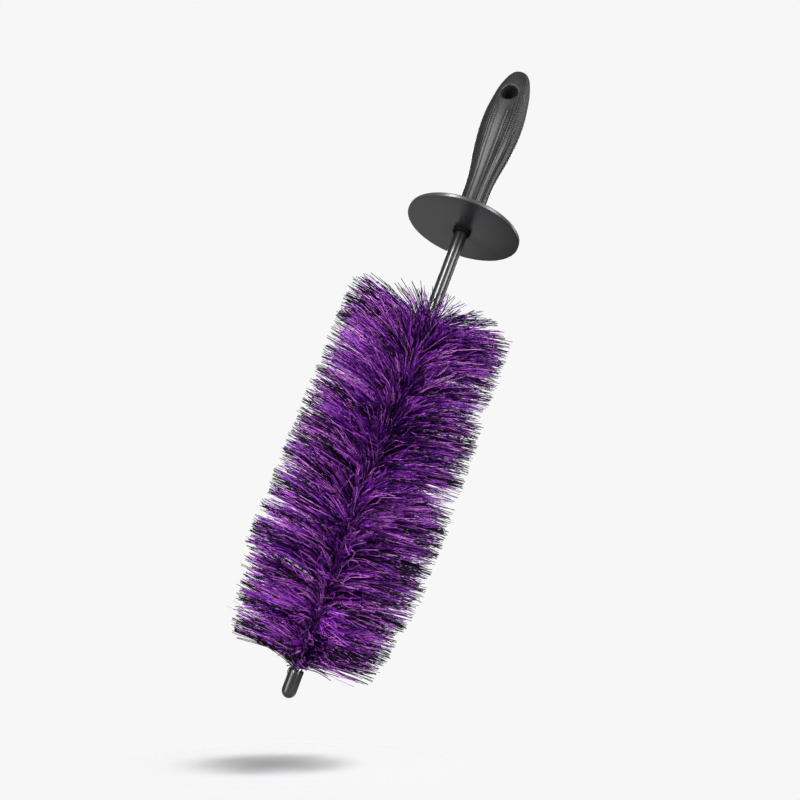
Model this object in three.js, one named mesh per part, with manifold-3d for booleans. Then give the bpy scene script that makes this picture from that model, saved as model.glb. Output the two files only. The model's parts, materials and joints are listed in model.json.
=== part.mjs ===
// Wheel brush: a long bristle head on a twisted wire core, a splash guard and a soft-grip handle.
// Millimetres, +Z runs along the brush towards the handle's end, the hang hole's centre is the origin.
// The hang hole runs along Y, so the handle's broad sides face -Y and +Y.

import * as THREE from 'three';
import Module from 'manifold-3d';

const wasm = await Module();
wasm.setup();

// ---- driving dimensions ----

const GAP = 0.3;

const HANDLE_END_Z = 25;
const HANG_HOLE_R = 5.5;
const HANG_HOLE_FLARE = 1.5;
const GUARD_FRONT_Z = -108.1;
const GUARD_THICKNESS = 2.8;
const GUARD_R = 40.5;
const GUARD_EDGE_R = 1.1;
const GUARD_HUB_R = 12;
const GUARD_SEGMENTS = 48;
const BRUSH_TIP_Z = -430;

const SLEEVE_R = 4.55;
const SLEEVE_BORE_R = 3.1;
const SLEEVE_TOP_Z = -60;
const SLEEVE_BOTTOM_Z = -181;

const COLLAR_R = 6.35;
const COLLAR_LENGTH = 2.6;

const CORE_LIP_R = 10.6;
const CORE_LIP_THICKNESS = 1.4;
const CORE_EYE_R = 9.4;
const CORE_EYE_HOLE_R = 7.2;
const CORE_EYE_HALF_WIDTH = 6.6;
const SOCKET_R = SLEEVE_R + GAP;
const SOCKET_END_Z = -44.8;

const WIRE_R = 1.3;
const WIRE_CENTRE_R = 1.45;
const WIRE_TURN = 25;
const WIRE_TOP_Z = -46;
const WIRE_BOTTOM_Z = -426;
const WIRE_STEPS_PER_TURN = 8;
const WIRE_HALF_SIDES = 3;

const FERRULE_R = 4.4;
const FERRULE_LENGTH = 13.4;

const CAP_LENGTH = 17;
const CAP_END_WALL = 3.6;

const BAND_COUNT = 13;
const BAND_PITCH = 17.75;
const BAND_ROOT_R = 3.2;
const BAND_TUFTS = 14;
const BAND_NOTCH = 0.13;
const BAND_FIRST_ROOT_Z = -412.6;
const HEAD_R = 58;

const ROUND_SEGMENTS = 32;
const HANDLE_SEGMENTS = 28;

// handle half width against height, from the guard to the rounded end
const HANDLE_PROFILE = [
  [-103.3, 10.4],
  [-99, 10.1],
  [-90, 9.75],
  [-81.5, 9.6],
  [-74, 9.65],
  [-66, 10.2],
  [-58, 11.3],
  [-50, 12.6],
  [-42, 13.65],
  [-34, 14.45],
  [-26, 14.9],
  [-18, 14.95],
  [-10, 14.45],
  [-2, 13.5],
  [7, 12.1],
  [14, 10.3],
  [19.5, 8.1],
  [23, 5.5],
  [24.6, 2.8],
];

// head radius against distance from the brush's tip, measured at the bristle ends
const HEAD_PROFILE = [
  [17, 35],
  [27, 42.5],
  [40, 47],
  [53, 50.5],
  [75, 55.8],
  [88, HEAD_R],
  [300, HEAD_R],
];

// ---- materials ----

function material(name, colour, roughness, metalness) {
  const made = new THREE.MeshStandardMaterial({ color: colour, roughness, metalness });
  made.name = name;
  return made;
}

const GRIP_GREY = material('grip_grey', 0x565759, 0.62, 0);
const CORE_BLACK = material('core_black', 0x232325, 0.5, 0);
const GUARD_GREY = material('guard_grey', 0x46464a, 0.4, 0);
const COLLAR_BLACK = material('collar_black', 0x141415, 0.6, 0);
const GLOSS_BLACK = material('gloss_black', 0x0e0e10, 0.18, 0);
const WIRE_STEEL = material('wire_steel', 0xb9bcc0, 0.35, 1);
const FERRULE_STEEL = material('ferrule_steel', 0x9a9da1, 0.3, 1);
const BRISTLE_PURPLE = material('bristle_purple', 0x53206b, 0.55, 0);
const BRISTLE_DARK = material('bristle_dark', 0x241030, 0.55, 0);

// ---- geometry helpers ----

function smoothstep(low, high, value) {
  const t = Math.min(1, Math.max(0, (value - low) / (high - low)));
  return t * t * (3 - 2 * t);
}

function interpolate(table, at) {
  for (let i = 1; i < table.length; i += 1) {
    const [x0, y0] = table[i - 1];
    const [x1, y1] = table[i];
    if (at <= x1) {
      return y0 + ((y1 - y0) * Math.max(0, at - x0)) / (x1 - x0);
    }
  }
  return table[table.length - 1][1];
}

// A solid of revolution about Z from [radius, height] pairs.
function turned(profile, segments) {
  const points = profile.map(([r, z]) => new THREE.Vector2(r, z));
  const geometry = new THREE.LatheGeometry(points, segments);
  geometry.rotateX(Math.PI / 2);
  return geometry;
}

// A ring of revolution: the profile closes on itself, outer wall rising, inner wall falling.
function turnedRing(profile, segments) {
  return turned([...profile, profile[0]], segments);
}

function weldedVertices(geometry) {
  const position = geometry.getAttribute('position');
  const index = geometry.getIndex();
  const places = new Map();
  const vertices = [];
  const remap = [];
  for (let i = 0; i < position.count; i += 1) {
    const point = [position.getX(i), position.getY(i), position.getZ(i)];
    const key = point.map((value) => Math.round(value * 1e4)).join(',');
    if (!places.has(key)) {
      places.set(key, vertices.length / 3);
      vertices.push(...point);
    }
    remap.push(places.get(key));
  }
  const corners = index ? Array.from(index.array) : remap.map((_, i) => i);
  const triangles = [];
  for (let i = 0; i < corners.length; i += 3) {
    const [a, b, c] = [remap[corners[i]], remap[corners[i + 1]], remap[corners[i + 2]]];
    if (a !== b && b !== c && c !== a) {
      triangles.push(a, b, c);
    }
  }
  return { vertices, triangles };
}

function toSolid(geometry) {
  const { vertices, triangles } = weldedVertices(geometry);
  const mesh = new wasm.Mesh({
    numProp: 3,
    vertProperties: new Float32Array(vertices),
    triVerts: new Uint32Array(triangles),
  });
  return new wasm.Manifold(mesh);
}

function fromSolid(solid) {
  const mesh = solid.getMesh();
  const geometry = new THREE.BufferGeometry();
  geometry.setAttribute('position', new THREE.BufferAttribute(new Float32Array(mesh.vertProperties), 3));
  geometry.setIndex(new THREE.BufferAttribute(new Uint32Array(mesh.triVerts), 1));
  geometry.computeVertexNormals();
  return geometry;
}

function part(name, geometry, look) {
  const mesh = new THREE.Mesh(geometry, look);
  mesh.name = name;
  return mesh;
}

// ---- handle ----

// The handle is nearly round at the neck and a little flatter from front to back at the palm swell.
function depthRatio(z) {
  return 1 - 0.13 * smoothstep(-85, -35, z);
}

// Turned stock pressed to the handle's rounded-square section.
function pressed(geometry) {
  const position = geometry.getAttribute('position');
  for (let i = 0; i < position.count; i += 1) {
    const x = position.getX(i);
    const y = position.getY(i);
    const z = position.getZ(i);
    const angle = Math.atan2(y, x);
    const power = 2 + 0.35 * smoothstep(-95, -40, z) * (1 - smoothstep(5, 22, z));
    const corner = Math.abs(Math.cos(angle)) ** power + Math.abs(Math.sin(angle)) ** power;
    const spread = corner ** (-1 / power);
    position.setXYZ(i, x * spread, y * spread * depthRatio(z), z);
  }
  return geometry;
}

function crosswise(profile, segments) {
  const geometry = turned(profile, segments);
  geometry.rotateX(Math.PI / 2);
  return geometry;
}

function coreShape(extra) {
  const back = GUARD_FRONT_Z + GUARD_THICKNESS;
  const lipTop = back + GAP + CORE_LIP_THICKNESS;
  const shaft = pressed(turned([
    [0, back + GAP - extra * 10],
    [7.1 + extra, back + GAP - extra * 10],
    [7.1 + extra, -80],
    [8.6 + extra, -60],
    [10.2 + extra, -38],
    [10.4 + extra, -26],
    [9.2 + extra, -12],
    [7.4 + extra, -6.5 + extra],
    [0, -6.5 + extra],
  ], 20));
  const lip = turned([
    [0, back + GAP],
    [CORE_LIP_R - 0.4, back + GAP],
    [CORE_LIP_R, back + GAP + 0.4],
    [CORE_LIP_R, lipTop],
    [0, lipTop],
  ], HANDLE_SEGMENTS);
  const half = CORE_EYE_HALF_WIDTH + extra;
  const eye = crosswise([[0, -half], [CORE_EYE_R + extra, -half], [CORE_EYE_R + extra, half], [0, half]], 24);
  const holeR = CORE_EYE_HOLE_R - extra;
  const eyeHole = crosswise([[0, -20], [holeR, -20], [holeR, 20], [0, 20]], 24);
  let shape = toSolid(shaft).add(toSolid(eye)).subtract(toSolid(eyeHole));
  if (extra === 0) {
    shape = shape.add(toSolid(lip));
  }
  return shape;
}

function handleCore() {
  const front = GUARD_FRONT_Z - 5;
  const socket = turned([
    [0, front],
    [SOCKET_R, front],
    [SOCKET_R, SOCKET_END_Z],
    [0, SOCKET_END_Z],
  ], 24);
  return fromSolid(coreShape(0).subtract(toSolid(socket)));
}

function handleGrip() {
  const curve = new THREE.SplineCurve(HANDLE_PROFILE.map(([z, r]) => new THREE.Vector2(r, z)));
  const side = curve.getPoints(26).map((point) => [point.x, point.y]);
  const [firstR, firstZ] = side[0];
  const outer = pressed(turned([
    [0, firstZ],
    [firstR - 0.5, firstZ],
    [firstR, firstZ + 0.5],
    ...side.slice(1),
    [0, HANDLE_END_Z],
  ], HANDLE_SEGMENTS));
  const flared = HANG_HOLE_R + HANG_HOLE_FLARE;
  const hole = crosswise([
    [0, -16],
    [flared + 1, -16],
    [flared, -11.9],
    [HANG_HOLE_R + 0.45, -10.9],
    [HANG_HOLE_R, -9.4],
    [HANG_HOLE_R, 9.4],
    [HANG_HOLE_R + 0.45, 10.9],
    [flared, 11.9],
    [flared + 1, 16],
    [0, 16],
  ], 24);
  return fromSolid(toSolid(outer).subtract(coreShape(GAP)).subtract(toSolid(hole)));
}

// ---- guard and collar ----

// The flat faces are split at the hub radius, so that their outer part lies clear of collar and lip.
function splashGuard() {
  const low = GUARD_FRONT_Z;
  const high = GUARD_FRONT_Z + GUARD_THICKNESS;
  const e = GUARD_EDGE_R;
  const bore = SLEEVE_R + GAP;
  const disc = turnedRing([
    [bore, low],
    [GUARD_HUB_R, low],
    [GUARD_R - e, low],
    [GUARD_R - 0.3 * e, low + 0.3 * e],
    [GUARD_R, low + e],
    [GUARD_R, high - e],
    [GUARD_R - 0.3 * e, high - 0.3 * e],
    [GUARD_R - e, high],
    [GUARD_HUB_R, high],
    [bore, high],
  ], GUARD_SEGMENTS);
  disc.rotateZ(Math.PI / GUARD_SEGMENTS);
  return disc;
}

function guardCollar() {
  const high = GUARD_FRONT_Z - GAP;
  const low = high - COLLAR_LENGTH;
  const bore = SLEEVE_R + GAP;
  return turnedRing([
    [bore, low],
    [COLLAR_R - 0.7, low],
    [COLLAR_R, low + 0.7],
    [COLLAR_R, high],
    [bore, high],
  ], ROUND_SEGMENTS);
}

// ---- shaft ----

function shaftSleeve() {
  return turnedRing([
    [SLEEVE_BORE_R, SLEEVE_BOTTOM_Z],
    [SLEEVE_R - 0.6, SLEEVE_BOTTOM_Z],
    [SLEEVE_R, SLEEVE_BOTTOM_Z + 0.6],
    [SLEEVE_R, SLEEVE_TOP_Z],
    [SLEEVE_BORE_R, SLEEVE_TOP_Z],
  ], 24);
}

class Strand extends THREE.Curve {
  constructor(phase) {
    super();
    this.phase = phase;
  }

  getPoint(t, target = new THREE.Vector3()) {
    const z = WIRE_BOTTOM_Z + t * (WIRE_TOP_Z - WIRE_BOTTOM_Z);
    const angle = this.phase + (2 * Math.PI * z) / WIRE_TURN;
    return target.set(WIRE_CENTRE_R * Math.cos(angle), WIRE_CENTRE_R * Math.sin(angle), z);
  }
}

function coreWire(phase) {
  const section = new THREE.Shape();
  section.absarc(0, 0, WIRE_R, 0, 2 * Math.PI, false);
  const turns = (WIRE_TOP_Z - WIRE_BOTTOM_Z) / WIRE_TURN;
  return new THREE.ExtrudeGeometry(section, {
    steps: Math.round(turns * WIRE_STEPS_PER_TURN),
    curveSegments: WIRE_HALF_SIDES,
    extrudePath: new Strand(phase),
  });
}

function wireFerrule() {
  const low = SLEEVE_TOP_Z + GAP;
  const high = low + FERRULE_LENGTH;
  return turnedRing([
    [SLEEVE_BORE_R, low],
    [FERRULE_R - 0.5, low],
    [FERRULE_R, low + 0.5],
    [FERRULE_R, high - 0.5],
    [FERRULE_R - 0.5, high],
    [SLEEVE_BORE_R, high],
  ], 24);
}

function endCap() {
  const open = BRUSH_TIP_Z + CAP_LENGTH;
  const points = [[0, BRUSH_TIP_Z]];
  for (let i = 1; i <= 5; i += 1) {
    const angle = (i / 5) * (Math.PI / 2);
    points.push([SLEEVE_R * Math.sin(angle), BRUSH_TIP_Z + SLEEVE_R * (1 - Math.cos(angle))]);
  }
  points.push([SLEEVE_R, open - 0.5]);
  points.push([SLEEVE_R - 0.5, open]);
  points.push([SLEEVE_BORE_R, open]);
  points.push([SLEEVE_BORE_R, BRUSH_TIP_Z + CAP_END_WALL]);
  points.push([0, BRUSH_TIP_Z + CAP_END_WALL]);
  return turned(points, 24);
}

// ---- bristles ----

// How far a bristle has risen towards the handle at radius r: steep at the spine, flatter outside.
function lean(rootZ, r) {
  const fromTip = rootZ - BRUSH_TIP_Z;
  const scale = 0.65 + 0.35 * smoothstep(15, 85, fromTip);
  const reach = r - BAND_ROOT_R;
  return scale * (8.5 * (1 - Math.exp(-reach / 13)) + 0.06 * reach);
}

function headRadius(z) {
  return interpolate(HEAD_PROFILE, z - BRUSH_TIP_Z);
}

// One band of bristles: a leaning ring whose rim is cut into tufts and thins towards the tips.
// Neighbouring bands are turned by half a tuft, so that tufts stand over notches.
function bristleBand(index) {
  const lowRoot = BAND_FIRST_ROOT_Z + index * BAND_PITCH;
  const highRoot = lowRoot + BAND_PITCH - GAP;
  const lowR = headRadius(lowRoot + lean(lowRoot, 45) + 2);
  const highR = headRadius(highRoot + lean(highRoot, 50) - 2);
  const under = [[BAND_ROOT_R, lowRoot]];
  const over = [[BAND_ROOT_R, highRoot]];
  for (const share of [0.22, 0.6, 1]) {
    const thin = 2.4 * share * share;
    const rLow = BAND_ROOT_R + share * (lowR - BAND_ROOT_R);
    const rHigh = BAND_ROOT_R + share * (highR - BAND_ROOT_R);
    under.push([rLow, lowRoot + lean(lowRoot, rLow) + thin]);
    over.push([rHigh, highRoot + lean(highRoot, rHigh) - thin]);
  }
  const geometry = turnedRing([...under, ...over.reverse()], 2 * BAND_TUFTS);
  const position = geometry.getAttribute('position');
  for (let i = 0; i < position.count; i += 1) {
    const x = position.getX(i);
    const y = position.getY(i);
    const r = Math.hypot(x, y);
    const angle = Math.atan2(y, x);
    const depth = BAND_NOTCH * smoothstep(0.3 * HEAD_R, 0.95 * HEAD_R, r);
    const factor = 1 - depth * (0.5 - 0.5 * Math.cos(BAND_TUFTS * angle + index * Math.PI));
    position.setXYZ(i, x * factor, y * factor, position.getZ(i));
  }
  return geometry;
}

// ---- assembly ----

const group = new THREE.Group();

const handle = new THREE.Group();
handle.add(part('handle_core', handleCore(), CORE_BLACK));
handle.add(part('handle_grip', handleGrip(), GRIP_GREY));
handle.add(part('splash_guard', splashGuard(), GUARD_GREY));
handle.add(part('guard_collar', guardCollar(), COLLAR_BLACK));
handle.add(part('shaft_sleeve', shaftSleeve(), GLOSS_BLACK));
handle.add(part('wire_ferrule', wireFerrule(), FERRULE_STEEL));
group.add(handle);

const head = new THREE.Group();
head.add(part('core_wire_1', coreWire(0), WIRE_STEEL));
head.add(part('core_wire_2', coreWire(Math.PI), WIRE_STEEL));
head.add(part('end_cap', endCap(), GLOSS_BLACK));
for (let i = 0; i < BAND_COUNT; i += 1) {
  const look = i % 2 === 0 ? BRISTLE_PURPLE : BRISTLE_DARK;
  head.add(part(`bristle_band_${String(i + 1).padStart(2, '0')}`, bristleBand(i), look));
}
group.add(head);

export default group;
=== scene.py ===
"""Looks of the wheel brush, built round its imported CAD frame. Metres, +Z from the tip to the handle."""

import json
import math

import bmesh
import bpy
import numpy as np
from mathutils import Matrix, Vector


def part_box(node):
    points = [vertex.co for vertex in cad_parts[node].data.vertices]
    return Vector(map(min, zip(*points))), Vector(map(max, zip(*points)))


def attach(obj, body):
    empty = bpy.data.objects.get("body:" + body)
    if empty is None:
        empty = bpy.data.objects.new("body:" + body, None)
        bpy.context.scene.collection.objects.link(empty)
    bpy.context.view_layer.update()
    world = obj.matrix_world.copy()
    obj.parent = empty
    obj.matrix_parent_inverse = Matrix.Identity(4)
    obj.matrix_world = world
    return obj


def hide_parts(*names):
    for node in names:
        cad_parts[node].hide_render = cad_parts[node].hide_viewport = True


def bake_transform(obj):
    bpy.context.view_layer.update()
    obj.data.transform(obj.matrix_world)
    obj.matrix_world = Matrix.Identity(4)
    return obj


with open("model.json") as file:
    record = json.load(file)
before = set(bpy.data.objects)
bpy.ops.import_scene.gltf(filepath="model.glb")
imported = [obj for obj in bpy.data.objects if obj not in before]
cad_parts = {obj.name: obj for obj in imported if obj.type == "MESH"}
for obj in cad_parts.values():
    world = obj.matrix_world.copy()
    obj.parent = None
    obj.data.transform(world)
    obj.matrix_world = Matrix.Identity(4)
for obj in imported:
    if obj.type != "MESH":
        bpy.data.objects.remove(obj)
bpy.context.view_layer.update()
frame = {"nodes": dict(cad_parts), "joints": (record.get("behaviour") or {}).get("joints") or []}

MM = 0.001
RNG = np.random.default_rng(20)

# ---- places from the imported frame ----

GRIP_LOW, GRIP_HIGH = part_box("handle_grip")
GUARD_LOW, GUARD_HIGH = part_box("splash_guard")
COLLAR_LOW, COLLAR_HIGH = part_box("guard_collar")
SLEEVE_LOW, SLEEVE_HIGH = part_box("shaft_sleeve")
CAP_LOW, CAP_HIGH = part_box("end_cap")
WIRE_LOW, WIRE_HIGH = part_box("core_wire_1")
BANDS = sorted(n for n in frame["nodes"] if n.startswith("bristle_band_"))
HINGE = Vector(frame["joints"][0]["pos_m"])
TIP_Z = CAP_LOW.z


def add_object(name, data):
    thing = bpy.data.objects.new(name, data)
    bpy.context.scene.collection.objects.link(thing)
    return thing


# ---- camera ----

CAMERA_AZIMUTH = math.radians(18)
CAMERA_DISTANCE = 0.434
CAMERA_Z = -0.329
TARGET_Z = -0.237
CAMERA_ROLL = math.radians(20.6)
LENS = 30.5
SENSOR_WIDTH = 36
CAMERA_NUDGE = (0.0012, 0.0005)


def make_camera():
    """The photo's view, rolled so that the upright brush looks tilted. Returns its right, up and back."""
    data = bpy.data.cameras.new("camera")
    data.sensor_width = SENSOR_WIDTH
    data.lens = LENS
    camera = add_object("camera", data)
    place = Vector((
        CAMERA_DISTANCE * math.sin(CAMERA_AZIMUTH),
        -CAMERA_DISTANCE * math.cos(CAMERA_AZIMUTH),
        CAMERA_Z,
    ))
    back = (place - Vector((0, 0, TARGET_Z))).normalized()
    level_up = (Vector((0, 0, 1)) - back.z * back).normalized()
    level_right = level_up.cross(back)
    up = math.cos(CAMERA_ROLL) * level_up - math.sin(CAMERA_ROLL) * level_right
    right = math.cos(CAMERA_ROLL) * level_right + math.sin(CAMERA_ROLL) * level_up
    place = place + CAMERA_NUDGE[0] * right + CAMERA_NUDGE[1] * up
    turn = Matrix((right, up, back)).transposed().to_4x4()
    camera.matrix_world = Matrix.Translation(place) @ turn
    bpy.context.scene.camera = camera
    return right, up, back


VIEW_RIGHT, VIEW_UP, VIEW_BACK = make_camera()


# ---- node helpers ----


class Tree:
    """A material's node tree with short calls for adding and linking nodes."""

    def __init__(self, name):
        self.material = bpy.data.materials.new(name)
        self.material.use_nodes = True
        self.tree = self.material.node_tree
        self.tree.nodes.clear()
        self.output = self.tree.nodes.new("ShaderNodeOutputMaterial")
        self.shader = self.tree.nodes.new("ShaderNodeBsdfPrincipled")
        self.link(self.shader.outputs[0], self.output.inputs["Surface"])

    def link(self, a, b):
        self.tree.links.new(a, b)

    def feed(self, name, value):
        """Link a varying value to one of the shader's inputs."""
        self.link(value, self.shader.inputs[name])

    def set(self, **values):
        """Set even values on the shader's own sockets."""
        for name, value in values.items():
            self.shader.inputs[name.replace("_", " ")].default_value = value

    def add(self, kind, **settings):
        node = self.tree.nodes.new("ShaderNode" + kind)
        for name, value in settings.items():
            setattr(node, name, value)
        return node

    def put(self, socket, value):
        if isinstance(value, bpy.types.NodeSocket):
            self.link(value, socket)
        else:
            socket.default_value = value

    def position(self):
        return self.add("TexCoord").outputs["Object"]

    def stretched(self, by):
        node = self.add("Mapping")
        self.link(self.position(), node.inputs["Vector"])
        node.inputs["Scale"].default_value = by
        return node.outputs["Vector"]

    def attribute(self, name):
        node = self.add("Attribute")
        node.attribute_name = name
        return node.outputs["Fac"]

    def noise(self, scale, detail, roughness, at=None):
        node = self.add("TexNoise")
        self.put(node.inputs["Vector"], at or self.position())
        node.inputs["Scale"].default_value = scale
        node.inputs["Detail"].default_value = detail
        node.inputs["Roughness"].default_value = roughness
        return node.outputs["Fac"]

    def maths(self, operation, a, b=0.0, clamp=False):
        node = self.add("Math", operation=operation, use_clamp=clamp)
        self.put(node.inputs[0], a)
        self.put(node.inputs[1], b)
        return node.outputs[0]

    def plus(self, a, b, clamp=False):
        return self.maths("ADD", a, b, clamp)

    def minus(self, a, b):
        return self.maths("SUBTRACT", a, b)

    def times(self, a, b):
        return self.maths("MULTIPLY", a, b)

    def ramp(self, value, stops):
        """Colours by value, from (value, colour) stops."""
        node = self.add("ValToRGB")
        elements = node.color_ramp.elements
        while len(elements) < len(stops):
            elements.new(0.5)
        for element, (place, colour) in zip(elements, stops):
            element.position = place
            element.color = (*colour, 1)
        self.link(value, node.inputs["Fac"])
        return node.outputs["Color"]

    def span(self, value, low, high):
        """Stretch a value of 0 to 1 to lie between low and high."""
        node = self.add("MapRange")
        self.link(value, node.inputs["Value"])
        node.inputs["To Min"].default_value = low
        node.inputs["To Max"].default_value = high
        return node.outputs["Result"]

    def rise(self, value, start, end, **settings):
        """0 where the value is start, 1 where it is end."""
        node = self.add("MapRange", **settings)
        self.link(value, node.inputs["Value"])
        node.inputs["From Min"].default_value = start
        node.inputs["From Max"].default_value = end
        return node.outputs["Result"]

    def bump(self, height, strength, distance):
        node = self.add("Bump")
        self.link(height, node.inputs["Height"])
        node.inputs["Strength"].default_value = strength
        node.inputs["Distance"].default_value = distance
        self.feed("Normal", node.outputs["Normal"])


def grey(value, tint=(1.0, 1.0, 1.0)):
    return tuple(value * t for t in tint)


# ---- materials ----

STUD_PITCH = 0.0016
# heights between which the grip's studs sink away towards the neck
STUD_FADE = (-0.028, -0.050)
COOL = (1, 1, 1.02)


def grip_material():
    """Soft grey rubber. Its side panels have a grid of low studs, nearly smooth along the neck, with
    painted shade darkening the pits between the studs.
    """
    t = Tree("grip_soft_grey")
    t.set(Specular_IOR_Level=0.24)
    broad = t.noise(55, 4, 0.6)
    fine = t.noise(2600, 2, 0.7)
    panel = t.attribute("panel")
    across = t.attribute("across")
    along = t.attribute("along")
    neck = t.rise(along, *STUD_FADE)

    rough = t.plus(t.span(broad, 0.37, 0.47), t.times(panel, -0.04))
    polish = t.times(t.times(neck, panel), 0.11)
    t.feed("Roughness", t.minus(rough, polish))

    pace = math.pi / STUD_PITCH
    rows = t.maths("SINE", t.times(t.plus(across, along), pace))
    columns = t.maths("SINE", t.times(t.minus(across, along), pace))
    studs = t.times(rows, columns)
    strength = t.times(t.minus(1.0, t.times(neck, 0.7)), panel)
    # painted shade: the colour is darkened in the pits between the studs, where shade would fall
    painted_pit_shade = t.times(t.minus(0.5, t.times(studs, 0.5)), strength)
    mottle = t.plus(t.times(broad, 0.6), t.times(fine, 0.4))
    shade = t.minus(mottle, t.times(painted_pit_shade, 0.30))
    t.feed("Base Color", t.ramp(shade, [
        (0.1, grey(0.004)), (0.35, grey(0.010, COOL)), (0.7, grey(0.022, COOL)),
    ]))
    height = t.plus(t.times(studs, strength), t.times(fine, 0.35))
    t.bump(height, 0.8, 0.00017)
    return t.material


def core_material():
    t = Tree("core_black_plastic")
    t.set(Specular_IOR_Level=0.5)
    grain = t.noise(900, 3, 0.6)
    t.feed("Base Color", t.ramp(grain, [(0.3, grey(0.012)), (0.7, grey(0.022))]))
    t.feed("Roughness", t.span(grain, 0.38, 0.5))
    t.bump(grain, 0.3, 0.00005)
    return t.material


def guard_material():
    t = Tree("guard_satin_plastic")
    t.set(Specular_IOR_Level=0.5)
    broad = t.noise(38, 4, 0.65)
    fine = t.noise(1900, 2, 0.6)
    mottle = t.plus(t.times(broad, 0.75), t.times(fine, 0.25))
    t.feed("Base Color", t.ramp(mottle, [
        (0.3, grey(0.024, (1, 1, 1.08))), (0.7, grey(0.036, (1, 1, 1.09))),
    ]))
    t.feed("Roughness", t.span(broad, 0.26, 0.38))
    t.bump(fine, 0.28, 0.00005)
    return t.material


def collar_material():
    t = Tree("collar_black_rubber")
    t.set(Specular_IOR_Level=0.06)
    grain = t.noise(1500, 3, 0.65)
    t.feed("Base Color", t.ramp(grain, [(0.3, grey(0.003)), (0.7, grey(0.006))]))
    t.feed("Roughness", t.span(grain, 0.6, 0.78))
    t.bump(grain, 0.4, 0.00006)
    return t.material


def gloss_material(name, streaks, low, high):
    """Glossy black plastic, drawn lengthwise, with a roughness between low and high."""
    t = Tree(name)
    t.set(Specular_IOR_Level=0.62)
    drawn = t.noise(streaks, 4, 0.6, at=t.stretched((1, 1, 0.06)))
    specks = t.noise(700, 3, 0.6)
    t.feed("Base Color", t.ramp(specks, [(0.3, grey(0.0075)), (0.75, grey(0.014))]))
    t.feed("Roughness", t.span(drawn, low, high))
    t.bump(drawn, 0.07, 0.00003)
    return t.material


def steel_material(name, value):
    """Galvanised steel: spangled patches with fine lengthwise drawing marks."""
    t = Tree(name)
    t.set(Metallic=1.0)
    spangle = t.noise(420, 4, 0.6)
    drawn = t.noise(900, 3, 0.6, at=t.stretched((1, 1, 0.12)))
    t.feed("Base Color", t.ramp(spangle, [
        (0.3, grey(value * 0.62, COOL)), (0.65, grey(value, (1, 1.005, 1.02))),
    ]))
    t.feed("Roughness", t.span(spangle, 0.22, 0.42))
    t.bump(drawn, 0.3, 0.00005)
    return t.material


def filament_material(name, stops, tip_colour, tip_from, rough, gloss):
    """Nylon filaments: the tone differs from strand to strand, and the tips are darker."""
    t = Tree(name)
    t.set(Roughness=rough, Specular_IOR_Level=gloss)
    patch = t.noise(70, 3, 0.6)
    level = t.plus(t.attribute("tone"), t.times(t.minus(patch, 0.5), 0.35), clamp=True)
    mix = t.add("Mix", data_type="RGBA")
    t.link(t.rise(t.attribute("reach"), tip_from, 1.0), mix.inputs["Factor"])
    t.link(t.ramp(level, stops), mix.inputs["A"])
    mix.inputs["B"].default_value = (*tip_colour, 1)
    t.feed("Base Color", mix.outputs["Result"])
    return t.material


MAT_GRIP = grip_material()
MAT_CORE = core_material()
MAT_GUARD = guard_material()
MAT_COLLAR = collar_material()
MAT_SLEEVE = gloss_material("sleeve_gloss_black", 600, 0.25, 0.32)
MAT_CAP = gloss_material("cap_gloss_black", 350, 0.24, 0.34)
MAT_WIRE = steel_material("galvanised_wire", 0.72)
MAT_FERRULE = steel_material("ferrule_steel", 0.6)
MAT_PURPLE = filament_material(
    "filament_purple",
    stops=[
        (0.0, (0.03, 0.003, 0.10)),
        (0.35, (0.19, 0.012, 0.45)),
        (0.62, (0.50, 0.035, 0.84)),
        (1.0, (1.0, 0.33, 1.0)),
    ],
    tip_colour=(0.15, 0.025, 0.25),
    tip_from=0.80,
    rough=0.32,
    gloss=0.34,
)
MAT_DARK = filament_material(
    "filament_black",
    stops=[
        (0.0, (0.002, 0.001, 0.003)),
        (0.6, (0.005, 0.002, 0.010)),
        (1.0, (0.03, 0.008, 0.05)),
    ],
    tip_colour=(0.003, 0.003, 0.003),
    tip_from=0.7,
    rough=0.5,
    gloss=0.09,
)


# ---- mesh helpers ----


def smooth_shade(mesh):
    mesh.polygons.foreach_set("use_smooth", np.ones(len(mesh.polygons), bool))


def mesh_object(name, points, faces, material):
    mesh = bpy.data.meshes.new(name)
    mesh.from_pydata([tuple(p) for p in points], [], [tuple(f) for f in faces])
    mesh.validate()
    mesh.update()
    smooth_shade(mesh)
    mesh.materials.append(material)
    return add_object(name, mesh)


def read_points(mesh, kind="co"):
    """The mesh's points, or with "normal" their normals, as [count, 3]."""
    values = np.zeros(len(mesh.vertices) * 3, np.float32)
    mesh.vertices.foreach_get(kind, values)
    return values.reshape(-1, 3)


def write_points(mesh, points):
    mesh.vertices.foreach_set("co", points.astype(np.float32).ravel())
    mesh.update()


def write_attributes(mesh, values):
    for name, data in values.items():
        attribute = mesh.attributes.new(name, "FLOAT", "POINT")
        attribute.data.foreach_set("value", data.astype(np.float32))


def rounded(corners, steps):
    """A profile of (radius, height, rounding) corners, in mm, with each corner turned into an arc."""
    out = []
    for i, (r, z, size) in enumerate(corners):
        here = np.array((r, z), float)
        if size <= 0 or i in (0, len(corners) - 1):
            out.append(here)
            continue
        before = np.array(corners[i - 1][:2], float) - here
        after = np.array(corners[i + 1][:2], float) - here
        a = here + before / np.linalg.norm(before) * size
        b = here + after / np.linalg.norm(after) * size
        for k in range(steps + 1):
            u = k / steps
            out.append((1 - u) ** 2 * a + 2 * u * (1 - u) * here + u * u * b)
    return np.array(out)


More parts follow.
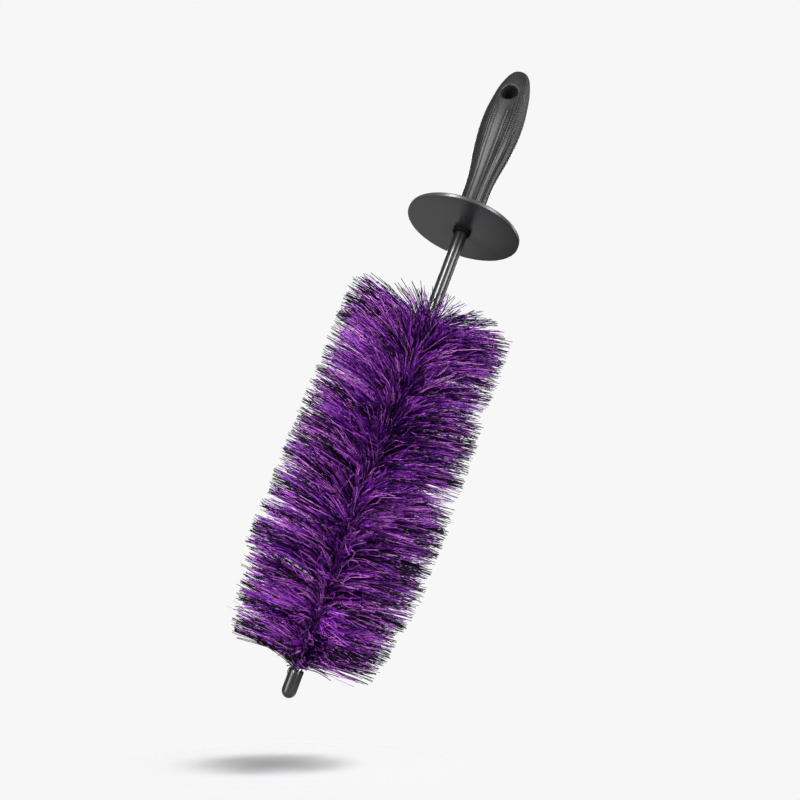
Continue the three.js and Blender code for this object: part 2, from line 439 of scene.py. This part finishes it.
def turned(name, profile, segments, material, closed):
    """A solid of revolution about Z, from a profile in mm.

    closed joins the profile's ends. Otherwise both ends lie on the axis.
    """
    profile = np.asarray(profile) * MM
    angles = np.linspace(0, 2 * math.pi, segments, endpoint=False)
    count = len(profile)
    points = np.zeros((segments, count, 3))
    points[:, :, 0] = np.cos(angles)[:, None] * profile[None, :, 0]
    points[:, :, 1] = np.sin(angles)[:, None] * profile[None, :, 0]
    points[:, :, 2] = profile[None, :, 1]
    faces = []
    last = count if closed else count - 1
    for i in range(segments):
        j = (i + 1) % segments
        for k in range(last):
            n = (k + 1) % count
            faces.append((i * count + k, j * count + k, j * count + n, i * count + n))
    piece = mesh_object(name, points.reshape(-1, 3), faces, material)
    bm = bmesh.new()
    bm.from_mesh(piece.data)
    bmesh.ops.remove_doubles(bm, verts=bm.verts, dist=1e-7)
    bmesh.ops.recalc_face_normals(bm, faces=bm.faces)
    bm.to_mesh(piece.data)
    bm.free()
    smooth_shade(piece.data)
    return piece


def apply_modifiers(piece):
    bpy.ops.object.select_all(action="DESELECT")
    piece.select_set(True)
    bpy.context.view_layer.objects.active = piece
    for modifier in list(piece.modifiers):
        bpy.ops.object.modifier_apply(modifier=modifier.name)


def smoothstep(low, high, value):
    t = np.clip((value - low) / (high - low), 0, 1)
    return t * t * (3 - 2 * t)


# ---- handle ----

# (height, half width) in mm, as the grip's CAD node has it
GRIP_PROFILE = np.array([
    (-103.3, 10.4), (-99, 10.1), (-90, 9.75), (-81.5, 9.6), (-74, 9.65), (-66, 10.2), (-58, 11.3),
    (-50, 12.6), (-42, 13.65), (-34, 14.45), (-26, 14.9), (-18, 14.95), (-10, 14.45), (-2, 13.5),
    (7, 12.1), (14, 10.35), (19.2, 8.45), (22.4, 6.2), (24.1, 3.3), (24.5, 0.0),
])
GRIP_BASE = (-103.1, 9.9)
SQUARENESS = 0.35
FLATNESS = 0.13
HOLE_R = 5.5

# the textured side panels, in mm
PANEL_LOW = GRIP_LOW.z / MM + 4.3
PANEL_HIGH = GRIP_HIGH.z / MM - 2.5
PANEL_DEPTH = 0.12
GROOVE_DEPTH = 0.24
GROOVE_WIDTH = 0.6
# nearer the axis than this, points lie in the hole or at the grip's ends
SKIN_R = 6.5
# the studs' even pitch round the grip is laid out at this radius
STUD_R = 12.5
EVEN_VOXEL = 0.00042


def catmull(points, samples):
    """A smooth curve through the points, as [samples, 2]."""
    padded = np.vstack([2 * points[0] - points[1], points, 2 * points[-1] - points[-2]])
    places = np.linspace(0, len(points) - 1 - 1e-9, samples)
    out = []
    for place in places:
        i = int(place)
        t = place - i
        p0, p1, p2, p3 = padded[i:i + 4]
        out.append(0.5 * (
            2 * p1 + (p2 - p0) * t + (2 * p0 - 5 * p1 + 4 * p2 - p3) * t ** 2
            + (3 * p1 - p0 - 3 * p2 + p3) * t ** 3
        ))
    return np.array(out)


def pressed(x, y, z):
    """The handle's rounded-square, slightly flattened section, as in the CAD node."""
    angle = np.arctan2(y, x)
    power = 2 + SQUARENESS * smoothstep(-95, -40, z) * (1 - smoothstep(5, 22, z))
    corner = np.abs(np.cos(angle)) ** power + np.abs(np.sin(angle)) ** power
    spread = corner ** (-1 / power)
    ratio = 1 - FLATNESS * smoothstep(-85, -35, z)
    return x * spread, y * spread * ratio


def panel_zone(x, y, z):
    """How far, in mm, a point lies inside the side panels, which leave a smooth strip front and back."""
    angle = np.abs(np.abs(np.arctan2(y, x)) - np.where(x > 0, 0, math.pi))
    strip = np.radians(15 + 16 * smoothstep(-18, -5, z))
    side = (math.pi / 2 - strip - angle) * np.hypot(x, y)
    return np.minimum(np.minimum(side, PANEL_HIGH - z), z - PANEL_LOW)


def grip_blank():
    """The grip's outer form, with its flat base and without the hole."""
    curve = catmull(GRIP_PROFILE, 170)
    curve = np.vstack([[(GRIP_BASE[0], 0)], [GRIP_BASE], curve])
    profile = np.stack([np.maximum(curve[:, 1], 0), curve[:, 0]], 1)
    profile[-1, 0] = 0
    piece = turned("handle_grip_soft", profile, 144, MAT_GRIP, closed=False)
    co = read_points(piece.data) / MM
    co[:, 0], co[:, 1] = pressed(co[:, 0], co[:, 1], co[:, 2])
    write_points(piece.data, co * MM)
    return piece


def cut_hole(piece):
    """Cut the hanging hole with its flared rims, then even out and soften the whole skin."""
    cutter = turned(
        "cutter",
        rounded([
            (0, -17, 0), (9.2, -17, 0), (7.4, -11.9, 0.4), (HOLE_R, -9.6, 1.6), (HOLE_R, 9.6, 1.6),
            (7.4, 11.9, 0.4), (9.2, 17, 0), (0, 17, 0),
        ], 6),
        96, MAT_CORE, closed=False,
    )
    cutter.data.transform(Matrix.Rotation(math.pi / 2, 4, "X"))
    cut = piece.modifiers.new("hole", "BOOLEAN")
    cut.object = cutter
    cut.solver = "EXACT"
    again = piece.modifiers.new("even", "REMESH")
    again.mode = "VOXEL"
    again.voxel_size = EVEN_VOXEL
    again.adaptivity = 0
    soft = piece.modifiers.new("soft", "SMOOTH")
    soft.factor = 0.5
    soft.iterations = 7
    apply_modifiers(piece)
    bpy.data.objects.remove(cutter)


def press_panels(mesh):
    """Sink the side panels with a groove round them, and store where the studs of the material go."""
    co = read_points(mesh) / MM
    inside = panel_zone(co[:, 0], co[:, 1], co[:, 2])
    groove = np.exp(-((inside / GROOVE_WIDTH) ** 2))
    sunk = smoothstep(-0.2, 0.8, inside)
    outer = np.hypot(co[:, 0], co[:, 1]) > SKIN_R
    depth = np.where(outer, -GROOVE_DEPTH * groove - PANEL_DEPTH * sunk, 0)
    co = co + read_points(mesh, "normal") * depth[:, None]
    write_points(mesh, co * MM)
    angle = np.arctan2(co[:, 1], co[:, 0])
    from_side = np.where(co[:, 0] > 0, angle, np.arctan2(-co[:, 1], -co[:, 0]))
    write_attributes(mesh, {
        "panel": np.where(outer, smoothstep(0.5, 1.3, inside), 0),
        "across": from_side * STUD_R * MM,
        "along": co[:, 2] * MM,
    })


def make_grip():
    piece = grip_blank()
    cut_hole(piece)
    press_panels(piece.data)
    smooth_shade(piece.data)
    piece.data.materials.clear()
    piece.data.materials.append(MAT_GRIP)
    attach(piece, "handle")
    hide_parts("handle_grip")


# ---- guard, collar, cap ----

BORE_R = 4.85
COLLAR_R = 6.35


def make_guard():
    low, high = GUARD_LOW.z / MM, GUARD_HIGH.z / MM
    radius = GUARD_HIGH.x / MM
    profile = rounded([
        (BORE_R, (low + high) / 2, 0), (BORE_R, low, 0.35), (radius, low, 0.8), (radius, high, 0.8),
        (BORE_R, high, 0.35), (BORE_R, (low + high) / 2 + 0.01, 0),
    ], 7)
    piece = turned("splash_guard_disc", profile, 192, MAT_GUARD, closed=True)
    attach(piece, "handle")
    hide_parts("splash_guard")


def make_collar():
    low, high = COLLAR_LOW.z / MM, COLLAR_HIGH.z / MM
    profile = rounded([
        (BORE_R, (low + high) / 2, 0), (BORE_R, low, 0.3), (COLLAR_R, low, 0.9), (COLLAR_R, high, 0.2),
        (BORE_R, high, 0.2), (BORE_R, (low + high) / 2 + 0.01, 0),
    ], 5)
    piece = turned("guard_collar_ring", profile, 64, MAT_COLLAR, closed=True)
    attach(piece, "handle")
    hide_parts("guard_collar")


def make_cap():
    """A round-ended cap with a blind hole for the wires' ends."""
    radius = CAP_HIGH.x / MM
    low, high = CAP_LOW.z / MM, CAP_HIGH.z / MM
    profile = [(0, low)]
    for k in range(1, 13):
        a = k / 12 * math.pi / 2
        profile.append((radius * math.sin(a), low + radius * (1 - math.cos(a))))
    for z in np.linspace(low + radius + 1, high - 0.7, 8):
        profile.append((radius, z))
    profile += [(radius - 0.2, high - 0.2), (radius - 0.7, high), (3.4, high), (3.15, high - 0.3)]
    profile += [(3.1, low + 4.1), (2.8, low + 3.6), (0, low + 3.6)]
    piece = turned("end_cap_rounded", profile, 64, MAT_CAP, closed=False)
    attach(piece, "head")
    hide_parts("end_cap")


# ---- shaft ----

SLEEVE_R = 4.55
SLEEVE_BORE_R = 3.1
WIRE_TURN = 25.0
WIRE_CENTRE_R = 1.45
WIRE_R = 1.3
WIRE_SIDES = 14
WIRE_STEPS_PER_TURN = 20


def make_sleeve():
    outer, inner = SLEEVE_R, SLEEVE_BORE_R
    low, high = SLEEVE_LOW.z / MM, SLEEVE_HIGH.z / MM
    profile = [(inner, low + 0.2), (inner + 0.3, low), (outer - 0.5, low), (outer, low + 0.5)]
    for z in np.linspace(low + 1.2, high - 1.2, 90):
        profile.append((outer, z))
    profile += [(outer, high - 0.3), (outer - 0.3, high), (inner, high)]
    for z in np.linspace(high - 1.2, low + 1.2, 60):
        profile.append((inner, z))
    piece = turned("shaft_sleeve_tube", profile, 64, MAT_SLEEVE, closed=True)
    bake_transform(piece)
    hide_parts("shaft_sleeve")


def make_wire(number, phase):
    """One of the two core wires: a round wire along a helix, with flat ends."""
    low, high = WIRE_LOW.z / MM + 0.1, WIRE_HIGH.z / MM - 0.1
    steps = int((high - low) / WIRE_TURN * WIRE_STEPS_PER_TURN)
    z = np.linspace(low, high, steps + 1)
    slope = 2 * math.pi / WIRE_TURN
    angle = phase + 2 * math.pi * z / WIRE_TURN
    centre = np.stack([WIRE_CENTRE_R * np.cos(angle), WIRE_CENTRE_R * np.sin(angle), z], 1)
    tangent = np.stack([
        -WIRE_CENTRE_R * slope * np.sin(angle), WIRE_CENTRE_R * slope * np.cos(angle), np.ones_like(z),
    ], 1)
    tangent /= np.linalg.norm(tangent, axis=1)[:, None]
    outward = np.stack([np.cos(angle), np.sin(angle), np.zeros_like(z)], 1)
    side = np.cross(tangent, outward)
    points, faces = [], []
    for i in range(steps + 1):
        for k in range(WIRE_SIDES):
            a = 2 * math.pi * k / WIRE_SIDES
            points.append((centre[i] + WIRE_R * (math.cos(a) * outward[i] + math.sin(a) * side[i])) * MM)
    for i in range(steps):
        here, above = i * WIRE_SIDES, (i + 1) * WIRE_SIDES
        for k in range(WIRE_SIDES):
            n = (k + 1) % WIRE_SIDES
            faces.append((here + k, here + n, above + n, above + k))
    faces.append(tuple(reversed(range(WIRE_SIDES))))
    faces.append(tuple(steps * WIRE_SIDES + k for k in range(WIRE_SIDES)))
    piece = mesh_object(f"core_wire_strand_{number}", points, faces, MAT_WIRE)
    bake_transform(piece)
    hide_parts(f"core_wire_{number}")


# ---- bristles ----

# lengths in mm; a root is its height above the brush's tip
LOCKS = 3700
LOCK_FILAMENTS = 4
FRIZZ = 1100
DARK_SHARE = 0.40
HEAD_ROOTS = (17.4, 247.6)
BAND_PITCH = 17.75
BAND_STAGGER = 0.618
ROOT_R = 2.6
CLUMPS_ROUND = 17
PATH_POINTS = 10
STRAND_SIDES = 3
TIP_TAPER = 0.8
# (height above the tip, radius) of the head's outline
HEAD_PROFILE = np.array([
    (17, 38.0), (22, 41.5), (27, 44.0), (40, 48.2), (53, 51.6), (75, 56.4), (88, 58.0), (300, 58.0),
])
CLUMP_SEED = 5
CLUMP_KEYS = 65536


def lean(root, r):
    """Rise towards the handle, in mm, of a filament rooted at root, at radius r."""
    scale = 0.95 + 0.23 * smoothstep(15, 85, root) - 0.72 * smoothstep(212, 249, root)
    reach = np.maximum(r - 3.2, 0)
    return scale * (8.5 * (1 - np.exp(-reach / 13)) + 0.06 * reach)


def column(values):
    """One row for each lock or filament, to be spread along its path."""
    return values[:, None]


def make_locks(rng):
    """Place the locks, each a few filaments that lean together, and give them their habits."""
    count = LOCKS
    root = rng.uniform(*HEAD_ROOTS, count)
    angle = rng.uniform(0, 2 * math.pi, count)

    # bands climb round the core as the wire's twist does, and each is split into clumps
    turn = root - angle / math.pi * BAND_PITCH
    band = np.round(turn / BAND_PITCH)
    off_band = turn - band * BAND_PITCH
    width = 2 * math.pi / CLUMPS_ROUND
    place = angle / width + (band * BAND_STAGGER) % 1.0
    clump = np.floor(place).astype(int)
    off_clump = (place - clump - 0.5) * width
    key = (band.astype(int) * 7919 + clump * 104729) % CLUMP_KEYS
    feel = np.random.default_rng(CLUMP_SEED).normal(size=(CLUMP_KEYS, 6))[key]

    # black filaments are more common at both ends of the head
    edge = 0.4 * (1 - smoothstep(18, 25, root)) + 0.25 * smoothstep(238, 248, root)
    dark = rng.random(count) < np.clip(DARK_SHARE + 0.10 * feel[:, 5] + edge, 0.08, 0.92)

    # how much a lock is drawn to its band's and its clump's middle, and how it leans
    ends = smoothstep(17, 34, root) * (1 - smoothstep(236, 249, root))
    pull = np.clip(0.42 + 0.16 * feel[:, 0] + 0.12 * rng.normal(size=count), 0.0, 0.85)
    pull = pull * (0.3 + 0.7 * ends)
    pull_round = np.clip(0.42 + 0.14 * feel[:, 1] + 0.14 * rng.normal(size=count), 0.0, 0.85)
    tilt = 2.0 * feel[:, 2] * ends + 2.0 * rng.normal(size=count) * (0.5 + 0.5 * ends)
    swing = 0.05 * feel[:, 3] + 0.09 * rng.normal(size=count)
    steep = np.clip(1 + 0.26 * rng.normal(size=count) + 0.12 * feel[:, 4], 0.3, 1.9)

    # strays stand up from the head's upper end
    top = smoothstep(238, 249, root)
    stray = rng.random(count) < 0.38 * top
    tilt = tilt + top * np.where(stray, rng.uniform(2, 12, count), 0.8 * np.abs(rng.normal(size=count)))

    # length, as a share of the head's outline: black ones make the rim
    limit = np.interp(root + lean(root, 50), HEAD_PROFILE[:, 0], HEAD_PROFILE[:, 1])
    share = np.where(dark, rng.uniform(0.985, 1.018, count), rng.uniform(0.85, 0.985, count))
    share = np.where(rng.random(count) < 0.12, share * rng.uniform(0.55, 0.95, count), share)
    share = np.where(stray, share * rng.uniform(0.5, 0.92, count), share)
    tone = np.clip(0.50 + 0.16 * feel[:, 2] + 0.22 * rng.normal(size=count), 0, 1)
    return {
        "root": root, "angle": angle, "dark": dark, "tone": tone, "length": limit * share,
        "to_band": pull * off_band, "to_clump": pull_round * off_clump,
        "tilt": tilt, "swing": swing, "steep": steep,
    }


def lock_filaments(locks, t, rng):
    """The locks' filaments, which start apart on the core and close up towards one point.

    t runs from 0 at the root to 1 at the tip. Returns their centre lines in mm, as
    [count, PATH_POINTS, 3] with z from the brush's tip, with root, dark, tone and radius.
    """
    lock = np.repeat(np.arange(len(locks["root"])), LOCK_FILAMENTS)
    own = {name: values[lock] for name, values in locks.items()}
    count = len(lock)
    loose = rng.random(count) < 0.32
    root_off = rng.normal(0, 1.1, count)
    angle_off = rng.normal(0, 0.10, count)
    closing = np.where(loose, rng.uniform(-1.2, 0.2, count), rng.uniform(0.15, 0.8, count))
    root = np.clip(own["root"] + root_off, *HEAD_ROOTS)
    dark = np.where(rng.random(count) < 0.26, rng.random(count) < DARK_SHARE, own["dark"])
    reach = own["length"] * np.where(rng.random(count) < 0.25, rng.uniform(0.8, 1, count), 1)
    reach = reach * rng.uniform(0.98, 1.003, count)

    # clumps close up to mid-length, then open again to an even rim
    r = ROOT_R + column(reach - ROOT_R) * t
    gather = np.sin(np.minimum(t, 0.62) / 0.62 * math.pi / 2) - 0.45 * smoothstep(0.6, 1.0, t)
    close = smoothstep(0.05, 1.0, t) * column(closing)
    height = (
        column(root)
        - column(root_off) * close
        + lean(column(root), r) * column(own["steep"])
        - column(own["to_band"]) * gather
        + column(own["tilt"]) * t ** 1.5
    )
    around = (
        column(own["angle"])
        + column(angle_off) * (1 - close)
        - column(own["to_clump"]) * gather
        + column(own["swing"]) * t ** 1.3
    )

    # each filament's own scatter and waviness
    height = height + column(rng.normal(0, 0.9, count)) * t ** 1.4
    around = around + column(rng.normal(0, 0.035, count)) * t ** 1.4
    wave = column(rng.uniform(0.03, 0.28, count)) * t ** 0.7
    pace = 2 * math.pi / column(rng.uniform(16, 38, count))
    height = height + wave * np.sin(r * pace + column(rng.uniform(0, 2 * math.pi, count)))
    side = wave * np.sin(r * pace * 0.83 + column(rng.uniform(0, 2 * math.pi, count)))
    around = around + side / np.maximum(r, 6)
    paths = np.stack([r * np.cos(around), r * np.sin(around), height], 2)
    tone = np.clip(own["tone"] + 0.36 * rng.normal(size=count), 0, 1)
    radius = np.where(dark, rng.uniform(0.22, 0.33, count), rng.uniform(0.18, 0.28, count))
    return paths, root, dark, tone, radius


def frizz_filaments(t, rng):
    """Short, mostly pale filaments that cross the others near the core, returned as the locks' are."""
    count = FRIZZ
    root = rng.uniform(HEAD_ROOTS[0] + 12, HEAD_ROOTS[1] - 6, count)
    angle = rng.uniform(0, 2 * math.pi, count)
    r = ROOT_R + column(rng.uniform(10, 52, count)) * t
    rise = rng.normal(7, 7, count) * np.minimum((HEAD_ROOTS[1] - root) / 30, 1)
    height = column(root) + column(rise) * t ** 1.2
    around = column(angle) + column(rng.normal(0, 0.26, count)) * t ** 0.8
    paths = np.stack([r * np.cos(around), r * np.sin(around), height], 2)
    dark = rng.random(count) < 0.15
    tone = rng.uniform(0.62, 1.0, count)
    radius = rng.uniform(0.14, 0.2, count)
    return paths, root, dark, tone, radius


def filament_mesh(name, paths, tone, radius, material, rng):
    """Three-sided tapering strands along the paths, one island each."""
    count, steps = paths.shape[:2]
    tangent = np.gradient(paths, axis=1)
    tangent /= np.linalg.norm(tangent, axis=2)[:, :, None]
    side = np.cross(tangent, np.array([0.0, 0.0, 1.0]))
    side /= np.maximum(np.linalg.norm(side, axis=2)[:, :, None], 1e-6)
    other = np.cross(tangent, side)
    taper = column(radius) * np.linspace(1.0, TIP_TAPER, steps)[None, :]
    start = rng.uniform(0, 2 * math.pi, count)[:, None, None]
    rings = []
    for k in range(STRAND_SIDES):
        a = start + 2 * math.pi * k / STRAND_SIDES
        rings.append(paths + taper[:, :, None] * (np.cos(a) * side + np.sin(a) * other))
    points = np.stack(rings, 2)
    points[:, :, :, 2] += TIP_Z / MM
    points = (points * MM).reshape(-1, 3).astype(np.float32)

    per_strand = steps * STRAND_SIDES
    first = np.arange(count) * per_strand
    ring = first[:, None, None] + (np.arange(steps - 1) * STRAND_SIDES)[None, :, None]
    k = np.arange(STRAND_SIDES)[None, None, :]
    n = (k + 1) % STRAND_SIDES
    above = ring + STRAND_SIDES
    quads = np.stack([ring + k, ring + n, above + n, above + k], 3).reshape(-1, 4)
    last = first + (steps - 1) * STRAND_SIDES
    ends = np.vstack([
        np.stack([first, first + 2, first + 1], 1),
        np.stack([last, last + 1, last + 2], 1),
    ])
    loops = np.concatenate([quads.ravel(), ends.ravel()]).astype(np.int32)
    sizes = np.concatenate([np.full(len(quads), 4), np.full(len(ends), 3)])
    starts = np.concatenate([[0], np.cumsum(sizes)[:-1]]).astype(np.int32)

    mesh = bpy.data.meshes.new(name)
    mesh.vertices.add(len(points))
    mesh.vertices.foreach_set("co", points.ravel())
    mesh.loops.add(len(loops))
    mesh.loops.foreach_set("vertex_index", loops)
    mesh.polygons.add(len(starts))
    mesh.polygons.foreach_set("loop_start", starts)
    smooth_shade(mesh)
    mesh.update(calc_edges=True)
    write_attributes(mesh, {
        "tone": np.repeat(tone, per_strand),
        "reach": np.tile(np.repeat(np.linspace(0, 1, steps), STRAND_SIDES), count),
    })
    mesh.materials.append(material)
    return add_object(name, mesh)


def make_bristles():
    """Two filament meshes, purple and black, in place of each band of the CAD model."""
    t = np.linspace(0, 1, PATH_POINTS)[None, :]
    locked = lock_filaments(make_locks(RNG), t, RNG)
    frizz = frizz_filaments(t, RNG)
    paths, root, dark, tone, radius = (np.concatenate(pair) for pair in zip(locked, frizz))
    which = np.clip(((root - HEAD_ROOTS[0]) / BAND_PITCH).astype(int), 0, len(BANDS) - 1)
    for i, node in enumerate(BANDS):
        number = node[-2:]
        for word, mask, material, slot in (
            ("purple", ~dark, MAT_PURPLE, "bristle_purple"),
            ("black", dark, MAT_DARK, "bristle_dark"),
        ):
            pick = (which == i) & mask
            piece = filament_mesh(
                f"filaments_{word}_{number}", paths[pick], tone[pick], radius[pick], material, RNG
            )
            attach(piece, "head")
            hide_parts(node)


# ---- the pieces ----


def dress(node, material):
    """Give a CAD node that stays its material."""
    mesh = frame["nodes"][node].data
    mesh.materials.clear()
    mesh.materials.append(material)


dress("handle_core", MAT_CORE)
dress("wire_ferrule", MAT_FERRULE)

make_grip()
make_guard()
make_collar()
make_cap()
make_sleeve()
make_wire(1, 0.0)
make_wire(2, math.pi)
make_bristles()


# ---- floor and light ----

# the floor is level across the rolled view, a little below the brush's tip
FLOOR_PITCH = math.radians(-21.5)
FLOOR_RADIUS = 0.9
FLOOR_GLOW = 0.28
# the floor is plain up to the first distance from the shadow and gone at the second
FLOOR_FADE = (0.035, 0.13)
SHADOW_RIGHT = 0.0005
SHADOW_DOWN = 0.0385
SHADOW_PLACE = Vector((0, 0, TIP_Z)) + VIEW_RIGHT * SHADOW_RIGHT - VIEW_UP * SHADOW_DOWN
SHADING_PIECES = ("end_cap_rounded", "filaments_purple_01")
BACKGROUND = 0.93
WORLD_FILL = 0.12

TOP_LAMP_WATTS = 24.4
TOP_LAMP_SIZE = 0.62
TOP_LAMP_AWAY = 1.8
HEAD_TOP = Vector((0, 0, HINGE.z - 0.1))

# name, then right, up and back in the view from the point it aims at, size, watts, that point's z
STUDIO_LAMPS = [
    ("key_left", -0.54, 0.74, 0.84, (0.2, 1.15), 37, -0.22),
    ("panel_right", 0.70, 0.22, 0.70, (0.28, 1.0), 16, -0.22),
    ("rim_right", 0.90, 0.35, -0.35, (0.2, 0.9), 3.5, -0.22),
    ("behind_low", -0.55, -0.70, -0.80, (0.8, 0.8), 1.2, -0.15),
    ("low_left", -0.71, -0.05, 0.50, (0.12, 0.5), 3.4, -0.28),
    ("back_fill", 0.05, 0.25, -1.2, (0.8, 0.8), 15, -0.2),
]


def floor_material():
    """A pale floor that glows a little and fades out round the shadow into the background."""
    t = Tree("pale_floor")
    t.set(
        Roughness=0.9, Specular_IOR_Level=0.0, Base_Color=(0.8, 0.8, 0.8, 1),
        Emission_Color=(1, 1, 1, 1), Emission_Strength=FLOOR_GLOW,
    )
    place = t.add("SeparateXYZ")
    t.link(t.position(), place.inputs[0])
    x, y = place.outputs["X"], place.outputs["Y"]
    distance = t.maths("SQRT", t.plus(t.times(x, x), t.times(y, y)))
    away = t.rise(distance, *FLOOR_FADE, interpolation_type="SMOOTHSTEP")
    clear = t.add("BsdfTransparent")
    mix = t.add("MixShader")
    t.link(away, mix.inputs[0])
    t.link(t.shader.outputs[0], mix.inputs[1])
    t.link(clear.outputs[0], mix.inputs[2])
    t.link(mix.outputs[0], t.output.inputs["Surface"])
    return t.material


def make_floor():
    bm = bmesh.new()
    bmesh.ops.create_circle(bm, cap_ends=True, radius=FLOOR_RADIUS, segments=96)
    mesh = bpy.data.meshes.new("floor")
    bm.to_mesh(mesh)
    bm.free()
    floor = add_object("floor", mesh)
    normal = math.cos(FLOOR_PITCH) * VIEW_UP + math.sin(FLOOR_PITCH) * VIEW_BACK
    floor.location = SHADOW_PLACE
    floor.rotation_mode = "QUATERNION"
    floor.rotation_quaternion = normal.to_track_quat("Z", "Y")
    mesh.materials.append(floor_material())
    return floor


def make_world():
    """An even pale background for the camera, and a weaker even fill for the brush."""
    world = bpy.data.worlds.new("studio")
    bpy.context.scene.world = world
    world.use_nodes = True
    nodes, links = world.node_tree.nodes, world.node_tree.links
    nodes.clear()
    out = nodes.new("ShaderNodeOutputWorld")
    seen = nodes.new("ShaderNodeBackground")
    seen.inputs["Color"].default_value = (BACKGROUND, BACKGROUND, BACKGROUND, 1)
    lit = nodes.new("ShaderNodeBackground")
    lit.inputs["Color"].default_value = (1, 1, 1, 1)
    lit.inputs["Strength"].default_value = WORLD_FILL
    path = nodes.new("ShaderNodeLightPath")
    mix = nodes.new("ShaderNodeMixShader")
    links.new(path.outputs["Is Camera Ray"], mix.inputs[0])
    links.new(lit.outputs[0], mix.inputs[1])
    links.new(seen.outputs[0], mix.inputs[2])
    links.new(mix.outputs[0], out.inputs["Surface"])


def area_lamp(name, shape, watts, place, aim):
    """An area lamp at a place, turned to shine along aim."""
    data = bpy.data.lights.new(name, "AREA")
    data.shape = shape
    data.energy = watts
    lamp = add_object(name, data)
    lamp.location = place
    lamp.rotation_mode = "QUATERNION"
    lamp.rotation_quaternion = aim.to_track_quat("-Z", "Y")
    return lamp


def softbox(name, right, up, back, size, watts, aim_z):
    target = Vector((0, 0, aim_z))
    place = target + VIEW_RIGHT * right + VIEW_UP * up + VIEW_BACK * back
    lamp = area_lamp(name, "RECTANGLE", watts, place, target - place)
    lamp.data.size, lamp.data.size_y = size
    return lamp


def make_top_lamp():
    """The floor's lamp, in line with the shadow's place and the upper part of the head."""
    along = (HEAD_TOP - SHADOW_PLACE).normalized()
    place = SHADOW_PLACE + along * TOP_LAMP_AWAY
    lamp = area_lamp("floor_lamp", "DISK", TOP_LAMP_WATTS, place, -along)
    lamp.data.size = TOP_LAMP_SIZE
    return lamp


def light_floor_apart(floor, studio, top):
    """The studio lamps leave the floor out, and the floor's own lamp lights nothing else.

    Only the cap and the lowest band's purple filaments shade the floor: all bands together
    would give a far wider and softer shadow.
    """
    shading = bpy.data.collections.new("shades_floor")
    for name in SHADING_PIECES:
        shading.objects.link(bpy.data.objects[name])
    top.light_linking.blocker_collection = shading
    ground = bpy.data.collections.new("floor_only")
    ground.objects.link(floor)
    top.light_linking.receiver_collection = ground
    rest = bpy.data.collections.new("all_but_floor")
    rest.objects.link(floor)
    rest.collection_objects[0].light_linking.link_state = "EXCLUDE"
    for lamp in studio:
        lamp.light_linking.receiver_collection = rest


floor = make_floor()
make_world()
studio = [softbox(*lamp) for lamp in STUDIO_LAMPS]
light_floor_apart(floor, studio, make_top_lamp())

bpy.context.scene.view_settings.view_transform = "Standard"
